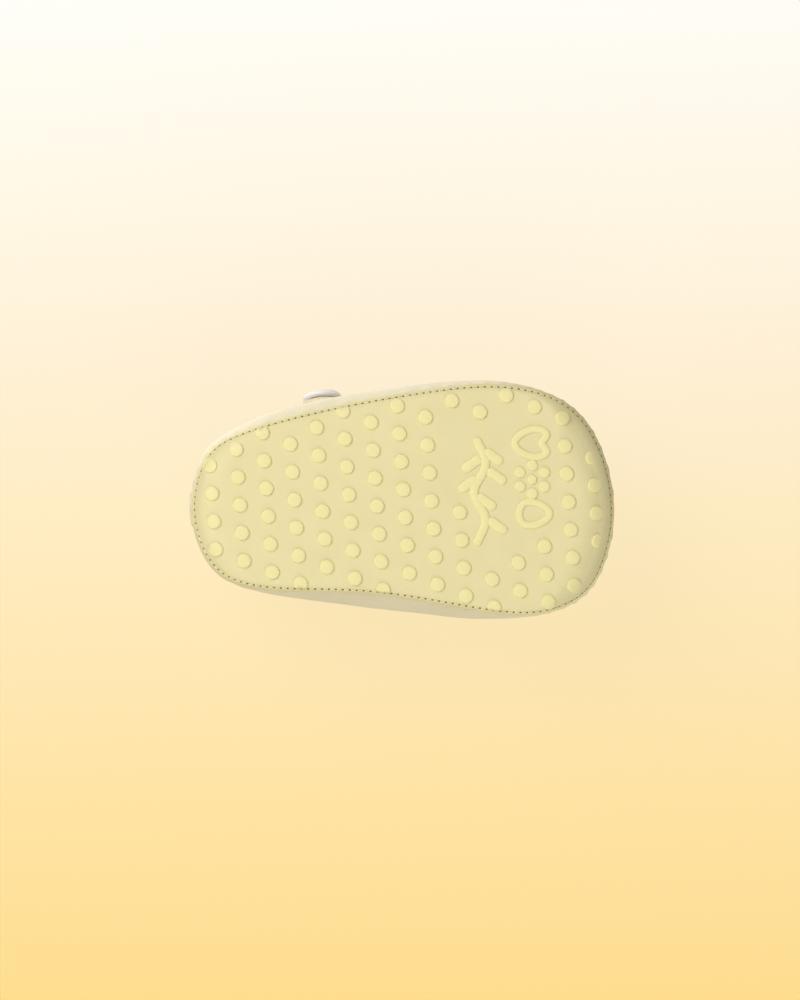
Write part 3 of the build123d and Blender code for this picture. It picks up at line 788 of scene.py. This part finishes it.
def makeSock():
    # a dish: flat on the foam, its edge curling up against the lining as a quarter ellipse
    high, gap, count = inside["sockTop"], inside["sockGap"], len(rim)
    rings = []
    for scale in inside["flatShares"]:
        flat = (rim[:, :2] - outward * (curlDepth + gap)[:, None]) * scale
        rings.append(np.column_stack([flat, np.full(count, high)]))
    for angle in np.linspace(0.02, np.pi / 2, inside["rings"]):
        inward = np.maximum(curlDepth - 1, 2) * (1 - np.sin(angle)) + gap
        lift = np.maximum(seamHeight + inside["sockEdge"] - high, 0.6) * (1 - np.cos(angle))
        rings.append(np.column_stack([rim[:, :2] - outward * inward[:, None], high + lift]))
    top = np.stack(rings)
    points, faces = slab(top - np.array([0, 0, inside["sockSheet"]]), top, around=True)
    hubs = np.array([[0, 0, high - inside["sockSheet"]], [0, 0, high]])
    # the inner ends of both layers close at the middle instead of joining each other
    start = (len(top) - 1) * count * 2
    del faces[start:start + count]
    half = len(top) * count
    faces += fanFaces(np.arange(count), len(points), flip=True).tolist()
    faces += fanFaces(np.arange(half, half + count), len(points) + 1).tolist()
    return makeObject("sockLiner", np.concatenate([points, hubs]), faces)


dress(makeLining(), cottonLining, "lining", "shoe", "vamp_lining", "quarter_lining")
sock = dress(makeSock(), cottonLining, "lining", "shoe", "sock_liner", "insole_foam")
print("lining ready")


tape = {
    "depth": 3.0, "sheet": 0.6, "halfWall": 1.35, "rise": 0.55, "stitchDown": 2.1, "steps": 720,
    "lowerShare": 0.93, "smoothTurns": 12, "rippleShare": 0.03,
}


def toplineFrame():
    # middle of the wall's top edge in even steps, with the directions up the wall and out of it,
    # smoothed along the edge
    wall, shares = shoe["wall"], (np.ones(len(rim)), np.full(len(rim), tape["lowerShare"]))
    middle, lower = ((wallAt(allColumns, share, 0.0) + wallAt(allColumns, share, wall, wall)) / 2
                     for share in shares)
    run = runLength(middle, closed=True)
    even = np.linspace(0, run[-1], tape["steps"] + 1)[:-1]
    place = np.interp(even, run, np.arange(len(rim) + 1))
    middle, lower = atPlace(middle, place), atPlace(lower, place)
    ahead = unit(np.roll(middle, -1, 0) - np.roll(middle, 1, 0))

    def square(up):
        return unit(up - ahead * np.sum(up * ahead, 1)[:, None])

    up = square(middle - lower)
    for turn in range(tape["smoothTurns"]):
        up = (np.roll(up, 1, 0) + up + np.roll(up, -1, 0)) / 3
        middle = (np.roll(middle, 1, 0) + middle * 2 + np.roll(middle, -1, 0)) / 4
    up = square(up)
    return middle, up, np.cross(ahead, up)


topMiddle, topUp, topOut = toplineFrame()


def makeTape():
    # section: down the outside, round over the top as half an ellipse, down the inside, and back
    # along the tape's own inner face
    half, deep = tape["halfWall"], tape["depth"]
    wide = half + tape["sheet"]
    side = [(wide, 0.15 - deep), (wide + 0.02, -1.5), (wide, -0.4)]
    turn = np.linspace(0, np.pi, 15)[1:-1]
    crown = [(wide * np.cos(a), (tape["rise"] + 0.4) * np.sin(a) - 0.2) for a in turn]
    inner = [(-half, -deep), (-half, -0.5), (half, -0.5), (half, -deep)]
    section = np.array(side + crown + [(-x, y) for x, y in side[::-1]] + inner)
    ripple = tape["rippleShare"] * waves(np.arange(len(topMiddle)) / 6, 0, 21)[:, None]
    out = section[:, 0] * (1 + ripple)
    points = topMiddle[:, None] + topOut[:, None] * out[..., None] + topUp[:, None] * section[:, 1][:, None]
    faces = gridFaces(len(topMiddle), len(section), aroundRows=True, aroundColumns=True)
    return makeObject("bindingTape", points.reshape(-1, 3), faces[:, ::-1])


dress(makeTape(), tapeLeather, "binding_tape", "shoe", "collar_binding")
seam = topMiddle + topOut * (tape["halfWall"] + tape["sheet"] + 0.03) - topUp * tape["stitchDown"]
seam, seamOut = (np.concatenate([values, values[:1]]) for values in (seam, topOut))
sewOn("tape", [stitchRow(*evenPath(seam, seamOut))], "shoe")
print("tape ready")


strapShape = {
    "middle": (-18.7, 0.0), "turn": 85.0, "width": 12.0, "sheet": 1.0, "lining": 0.7, "root": (22.1, 28.9),
    "line": [(19.42, 32.74), (12.5, 39.0), (0, 41.0), (-12.5, 38.4), (-24.69, 31.5), (-26.04, 28),
             (-27.16, 23.6)],
    "stations": 150, "endStations": 26, "sides": 48, "stitchInset": 1.5, "stitchFrom": 6.0,
    "hinge": (-17.01, 19.34, 32.74), "bendBefore": 1.8, "bendAfter": 2.6,
}
skyward = np.array([0, 0, 1.0])
strapTurn = np.radians(strapShape["turn"])
strapDirection = np.array([np.cos(strapTurn), np.sin(strapTurn), 0])
strapAcross = np.array([strapDirection[1], -strapDirection[0], 0])


def strapFrame(count):
    # centre line in the strap's own plane, from its root in the wall to its free end, in even
    # steps, with the distance along it and its outward direction
    line = openSpline([strapShape["root"]] + strapShape["line"], 900)
    run = runLength(line)
    even = np.linspace(0, run[-1], count)
    line = resample(even, run, line)
    ahead = unit(np.gradient(line, axis=0))
    out = np.stack([ahead[:, 1], -ahead[:, 0]], 1)
    out = np.where(np.sum(out * (line - np.array([0, 20.0])), 1)[:, None] < 0, -out, out)
    return line, even, out


def inSpace(flat, side):
    # a point of the strap's plane, moved sideways, in the shoe's frame
    base = np.array([*strapShape["middle"], 0.0])
    return base + flat[..., :1] * strapDirection + flat[..., 1:2] * skyward + side[..., None] * strapAcross


def strapBand(low, high, width, start=0.0, end=None, roundEnd=True):
    # a ribbon between two distances from the centre line; its section is a rounded rectangle, and
    # its free end is a half circle: half width = sqrt(r^2 - (s - (length - r))^2)
    stations, tips, sides = (strapShape[key] for key in ("stations", "endStations", "sides"))
    line, run, out = strapFrame(stations * 4)
    end, half = run[-1] if end is None else end, width / 2
    stops = np.linspace(start, end, stations)
    over = np.zeros(stations)
    if roundEnd:
        tip = half * np.sin(np.linspace(0, np.pi / 2 - 0.03, tips))
        stops = np.concatenate([np.linspace(start, end - half, stations - tips)[:-1], end - half + tip])
        over = np.clip((stops - (end - half)) / half, 0, 1)
    middle, away = resample(stops, run, line), resample(stops, run, out)
    halves = half * np.sqrt(np.clip(1 - over**2, 0.0006, 1))
    angle = circle(sides)
    roundX = np.sign(np.cos(angle)) * np.abs(np.cos(angle)) ** 0.25
    roundY = np.sign(np.sin(angle)) * np.abs(np.sin(angle)) ** 0.45
    height = (low + high) / 2 + (high - low) / 2 * roundY
    flat = middle[:, None] + away[:, None] * height[:, None]
    points = inSpace(flat, halves[:, None] * roundX)
    return points.reshape(-1, 3), tubeFaces(len(stops), sides)


halfStrap = (strapShape["sheet"] + strapShape["lining"]) / 2
seamLevel = halfStrap - strapShape["sheet"]
leatherBand = strapBand(seamLevel, halfStrap, strapShape["width"])
strapTop = makeObject("strapLeather", *leatherBand)
dress(strapTop, upperLeather, "upper_leather", "hinge", "strap", "strap_stub")
liningBand = strapBand(-halfStrap, seamLevel, strapShape["width"] - 0.3)
dress(makeObject("strapUnderside", *liningBand), cottonLining, "lining", "hinge", "strap_lining")


def strapEdgePath():
    # down one side, round the free end and back up the other, on the outer face
    line, run, out = strapFrame(600)
    inset = strapShape["stitchInset"]
    half, end = strapShape["width"] / 2 - inset, run[-1] - inset
    straight = np.linspace(strapShape["stitchFrom"], end - half, 90)
    turn = np.linspace(-np.pi / 2, np.pi / 2, 60)[1:-1]
    stops = np.concatenate([straight, end - half + half * np.cos(turn), straight[::-1]])
    side = np.concatenate([np.full(90, -half), half * np.sin(turn), np.full(90, half)])
    middle, away = resample(stops, run, line), resample(stops, run, out)
    points = inSpace(middle + away * (halfStrap + 0.02), side)
    return evenPath(points, away[:, :1] * strapDirection + away[:, 1:] * skyward)


sewOn("strap", [stitchRow(*strapEdgePath())], "hinge")

patches = {
    "width": 8.0, "hookMm": 0.3, "hookSeat": 0.02, "hookEnds": (10.2, 2.0),
    "loopFloor": -2.3, "loopGap": 0.66, "loopEnds": (4.4, 0.1),
}
strapLength = strapFrame(300)[1][-1]
hookEnds, loopEnds = ([strapLength - away for away in patches[key]] for key in ("hookEnds", "loopEnds"))
hookLow, hookTop = -halfStrap - patches["hookMm"], -halfStrap + patches["hookSeat"]
hookBand = strapBand(hookLow, hookTop, patches["width"], *hookEnds)
dress(makeObject("hookPatch", *hookBand), hookTape, "hook_tape", "strap", "hook_patch")
loopTop = -halfStrap - patches["loopGap"]
loopBand = strapBand(patches["loopFloor"], loopTop, patches["width"], *loopEnds, roundEnd=False)
dress(makeObject("loopPatch", *loopBand), hookTape, "hook_tape", "shoe", "loop_patch")
print("strap ready")


buttonShape = {
    "centre": (-21.05, -26.85, 29.4), "facing": (-0.083, -0.9485, 0.3056), "segments": 72,
    "profile": [(0, 0), (3.9, 0), (4.6, 0.15), (5.1, 0.5), (5.25, 0.9), (5.1, 1.3), (4.7, 1.7),
                (4.1, 1.95), (3.6, 2.0), (3.1, 1.9), (2.7, 1.7), (2.3, 1.6), (1.2, 1.57), (0, 1.57)],
    "shank": [(0, -1.9), (0.9, -1.9), (0.8, -0.2), (1.0, 0.2), (0, 0.2)], "shankSegments": 28,
    "holeAt": 1.25, "holeMm": 1.0, "holeFloor": 1.5, "holeTop": 1.6, "holeSegments": 20,
    "barMm": 0.5, "barFrom": 1.55, "barRise": 0.35, "barSteps": 12,
}
buttonCentre, buttonUp = np.array(buttonShape["centre"]), unit(np.array(buttonShape["facing"]))
buttonAcross = unit(strapAcross - buttonUp * (strapAcross @ buttonUp))
buttonAside = np.cross(buttonUp, buttonAcross)


def onButton(x, y, height):
    # a point at x, y on the button's face and a height along its axis
    return buttonCentre + x * buttonAcross + y * buttonAside + height * buttonUp


def lathe(profile, segments, x=0.0, y=0.0):
    # a profile of radius and height turned about the button's axis, or one beside it; the profile
    # starts and ends on the axis
    angle = circle(segments)[None, :, None]
    profile = np.array(profile, float)
    radius, height = profile[1:-1, :1, None], profile[1:-1, 1:, None]
    points = onButton(x + radius * np.cos(angle), y + radius * np.sin(angle), height)
    hubs = onButton(x, y, profile[[0, -1], 1:])
    return np.concatenate([points.reshape(-1, 3), hubs]), spindleFaces(len(profile) - 2, segments)


def makeButton():
    # smooth the profile through its points first
    smooth = openSpline(buttonShape["profile"], 70)
    smooth[:, 0] = np.clip(smooth[:, 0], 0, None)
    smooth[[0, -1], 0] = 0
    return makeObject("buttonBody", *lathe(smooth, buttonShape["segments"]))


dress(makeButton(), buttonResin, "button_resin", "strap", "button")
shank = makeObject("buttonShank", *lathe(buttonShape["shank"], buttonShape["shankSegments"]))
dress(shank, sewingThread, "thread", "strap", "button_shank")


def buttonThread():
    # two thick thread bars that cross between the four holes, and the holes as discs of painted shade
    away, radius, steps = buttonShape["holeAt"], buttonShape["holeMm"] / 2, buttonShape["barSteps"]
    t = np.linspace(0, 1, steps)[:, None]
    x = away * (2 * t - 1)
    arch = np.sqrt(np.sin(np.pi * np.clip(t, 0.001, 0.999)))
    height, outs = buttonShape["barFrom"] + buttonShape["barRise"] * arch, np.tile(buttonUp, (steps, 1))
    bars = [stitchRow(onButton(x, y, height), outs, 1, thread=buttonShape["barMm"])[0][0] for y in (x, -x)]
    low, high = buttonShape["holeFloor"], buttonShape["holeTop"]
    hole = [(0, low), (radius, low), (radius, high), (0, high)]
    spots = [(x, y) for x in (-away, away) for y in (-away, away)]
    return bars, [lathe(hole, buttonShape["holeSegments"], x, y) for x, y in spots]


bars, discs = buttonThread()
dress(makeObject("buttonThread", *joinSets(bars)), sewingThread, "thread", "strap")
dress(makeObject("buttonHoles", *joinSets(discs)), needleShade, "thread", "strap")
print("button ready")


studio = {
    "floor": "#fdf3de", "floorSize": 6.0, "floorHeight": -0.01, "floorLit": 0.4,
    "backdrop": [(0.0, "#fffdf6"), (0.2, "#fff7e4"), (0.35, "#fff0d6"), (0.5, "#feecc4"),
                 (0.64, "#fee8b6"), (0.8, "#ffe3a4"), (1.0, "#fedd8f")],
    "backdropSize": 3.0, "backdropHeight": 43.5, "backdropLit": 0.12, "toneSpan": 0.138,
    "lampTarget": (0, 0, 0.02), "airStrength": 0.42,
    "cameraAway": 0.9, "frameHeightMm": 263, "sensor": 36,
}
# name, place, size and watts of each square soft lamp
lamps = [
    ("softBelow", (-0.42, -0.34, -0.62), 0.6, 4.6), ("fillBelow", (0.15, 0.75, -0.45), 0.7, 3.2),
    ("softAbove", (-0.4, -0.5, 0.9), 0.8, 6.5), ("fillAbove", (0.6, 0.5, 0.8), 0.8, 2.3),
]


def oneSidedPlane(name, material, size, heightMm, up):
    corners = np.array([(-1, -1), (1, -1), (1, 1), (-1, 1)]) * size / 2 / toMetres
    face = [0, 1, 2, 3] if up else [3, 2, 1, 0]
    plane = makeObject(name, np.column_stack([corners, np.full(4, heightMm)]), [face], smooth=False)
    plane.data.materials.append(material)


def stageMaterial(name, stops, lit):
    # seen by the camera from its front only; everything else passes through, so it neither blocks
    # the lights nor tints the shoe. The tone changes across the stage, paler at one end. The lit share
    # takes light and shadow, the rest glows with that tone whatever the lamps do
    material, shader = newMaterial(name, stops[0][1], 1.0)
    shader.inputs["Specular IOR Level"].default_value = 0
    place = addNode(material, "TexCoord").outputs["Object"]
    parts = addNode(material, "SeparateXYZ", {}, {0: place})
    span = addNode(material, "MapRange", {1: -studio["toneSpan"], 2: studio["toneSpan"]},
                   {0: parts.outputs[1]})
    ramp = addNode(material, "ValToRGB", {}, {0: span.outputs[0]})
    for number in range(len(stops) - 2):
        ramp.color_ramp.elements.new(0.5)
    for element, (position, tone) in zip(ramp.color_ramp.elements, stops):
        element.position = position
        element.color = colour(tone)
    material.node_tree.links.new(ramp.outputs[0], shader.inputs["Base Color"])
    facing = addNode(material, "NewGeometry").outputs["Backfacing"]
    rays = addNode(material, "LightPath").outputs
    front = addNode(material, "Math", {"operation": "SUBTRACT", 0: 1.0}, {1: facing})
    seen = combine(material, "MAXIMUM", rays["Is Camera Ray"], rays["Is Glossy Ray"])
    shown = combine(material, "MULTIPLY", front.outputs[0], seen)
    clear = addNode(material, "BsdfTransparent")
    glow = addNode(material, "Emission", {"Strength": 1.0}, {"Color": ramp.outputs[0]})
    paper = addNode(material, "MixShader", {0: 1 - lit}, {1: shader.outputs[0], 2: glow.outputs[0]})
    mix = addNode(material, "MixShader", {},
                  {0: shown, 1: clear.outputs[0], 2: paper.outputs[0]})
    material.node_tree.links.new(mix.outputs[0], material.node_tree.nodes["Material Output"].inputs[0])
    return material


floorStops = [(0.0, studio["floor"]), (1.0, studio["floor"])]
floorPaper = stageMaterial("studio floor paper", floorStops, studio["floorLit"])
oneSidedPlane("floorPlane", floorPaper, studio["floorSize"], studio["floorHeight"], True)
backPaper = stageMaterial("pale backdrop paper", studio["backdrop"], studio["backdropLit"])
oneSidedPlane("backdropPlane", backPaper, studio["backdropSize"], studio["backdropHeight"], False)

for name, place, size, watts in lamps:
    data = bpy.data.lights.new(name, "AREA")
    data.size = size
    data.energy = watts
    lamp = bpy.data.objects.new(name, data)
    turn = (Vector(studio["lampTarget"]) - Vector(place)).to_track_quat("-Z", "Y").to_matrix().to_4x4()
    lamp.matrix_world = Matrix.Translation(place) @ turn
    bpy.context.scene.collection.objects.link(lamp)

# soft light from all round, and the floor's tone where the camera sees past the stage
world = bpy.data.worlds.new("studio air")
bpy.context.scene.world = world
world.use_nodes = True
air = world.node_tree.nodes["Background"]
air.inputs["Color"].default_value = colour("#ffffff")
air.inputs["Strength"].default_value = studio["airStrength"]
seen = addNode(world, "Background", {"Color": colour(studio["floor"]), "Strength": 1.0})
rays = addNode(world, "LightPath").outputs
mix = addNode(world, "MixShader", {},
              {0: rays["Is Camera Ray"], 1: air.outputs[0], 2: seen.outputs[0]})
world.node_tree.links.new(mix.outputs[0], world.node_tree.nodes["World Output"].inputs[0])

camera = bpy.data.objects.new("soleCamera", bpy.data.cameras.new("soleCamera"))
bpy.context.scene.collection.objects.link(camera)
camera.data.sensor_fit = "VERTICAL"
camera.data.sensor_height = studio["sensor"]
camera.data.lens = studio["sensor"] * studio["cameraAway"] / (studio["frameHeightMm"] * toMetres)
camera.data.clip_start = 0.01
# the camera looks straight up, the inner side of the shoe at the bottom of the picture
camera.matrix_world = Matrix(((1, 0, 0, 0), (0, -1, 0, 0), (0, 0, -1, -studio["cameraAway"]), (0, 0, 0, 1)))
bpy.context.scene.camera = camera
bpy.context.scene.view_settings.view_transform = "Standard"
print("stage ready")
